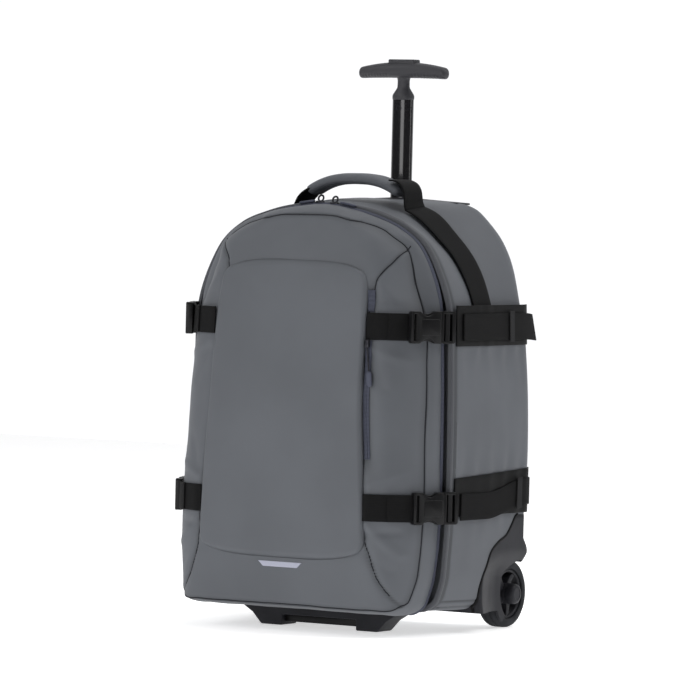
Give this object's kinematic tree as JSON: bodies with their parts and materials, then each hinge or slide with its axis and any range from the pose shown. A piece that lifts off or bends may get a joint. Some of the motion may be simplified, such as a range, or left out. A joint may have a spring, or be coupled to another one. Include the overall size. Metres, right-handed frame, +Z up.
{
  "type": "wheeled backpack",
  "caption": "Soft wheeled backpack with a rounded clamshell body, compression straps, carry handle, telescoping T handle, rear wheels and a front foot.",
  "frame": {"origin": "middle of the bounding box, on the ground", "axes": "+Z up, the front faces -Y, +X is the viewer's right when facing the front"},
  "size_m": [0.383, 0.3086, 0.6665],
  "materials": {
    "coated_cloth": "smooth matte coated cloth, grey",
    "webbing": "woven black webbing",
    "zip_tape": "slate coloured zip tape",
    "reflective": "pale reflective film",
    "buckle": "black moulded acetal",
    "housing": "charcoal moulded plastic with a fine grain",
    "grip": "charcoal moulded grip",
    "tube": "gloss black painted aluminium tube",
    "tyre": "charcoal soft rubber",
    "hardware": "black painted metal"
  },
  "bodies": {
    "bag": {"main_shell": "coated_cloth", "front_shell": "coated_cloth", "front_panel": "coated_cloth", "zip_flap": "coated_cloth", "carry_handle": "coated_cloth", "shoulder_strap_right": "coated_cloth", "shoulder_strap_left": "coated_cloth", "main_zip": "zip_tape", "pocket_zip_lower": "zip_tape", "pocket_zip_upper": "zip_tape", "zip_pull_right": "zip_tape", "zip_pull_left": "zip_tape", "reflective_mark": "reflective", "upper_wing_right": "webbing", "upper_wing_left": "webbing", "lower_wing_right": "webbing", "lower_wing_left": "webbing", "upper_side_webbing_right": "webbing", "upper_side_webbing_left": "webbing", "lower_side_webbing_right": "webbing", "lower_side_webbing_left": "webbing", "upper_keeper_right": "webbing", "upper_keeper_left": "webbing", "lower_keeper_right": "webbing", "lower_keeper_left": "webbing", "upper_front_webbing_right": "webbing", "upper_front_webbing_left": "webbing", "lower_front_webbing_right": "webbing", "lower_front_webbing_left": "webbing", "handle_webbing_right": "webbing", "handle_webbing_left": "webbing", "strap_anchor_right": "webbing", "strap_anchor_left": "webbing", "upper_buckle_right": "buckle", "upper_buckle_left": "buckle", "lower_buckle_right": "buckle", "lower_buckle_left": "buckle", "foot_bar": "buckle", "zip_slider_right": "hardware", "zip_slider_left": "hardware", "top_plate": "housing", "guide_tube": "housing", "wheel_housing_right": "housing", "wheel_housing_left": "housing", "foot": "housing"},
    "handle": {"pole": "tube", "grip": "grip", "pole_rivet": "hardware"},
    "button": {"grip_button": "grip"},
    "wheel_right": {"wheel_tyre_right": "tyre", "wheel_rim_right": "housing", "wheel_cap_right": "housing"},
    "wheel_left": {"wheel_tyre_left": "tyre", "wheel_rim_left": "housing", "wheel_cap_left": "housing"}
  },
  "joints": [
    {"name": "handle_slide", "type": "slide", "parent": "bag", "child": "handle", "axis": [0, 0, 1], "range_m": [-0.115, 0.24]},
    {"name": "button_press", "type": "slide", "parent": "handle", "child": "button", "axis": [0, 0, -1], "range_m": [0, 0.004], "stiffness_N_per_m": 500, "springref_m": -0.002},
    {"name": "wheel_right_spin", "type": "hinge", "parent": "bag", "child": "wheel_right", "pos_m": [0.142, 0.1143, 0.04], "axis": [1, 0, 0], "continuous": true},
    {"name": "wheel_left_spin", "type": "hinge", "parent": "bag", "child": "wheel_left", "pos_m": [-0.142, 0.1143, 0.04], "axis": [1, 0, 0], "continuous": true}
  ]
}
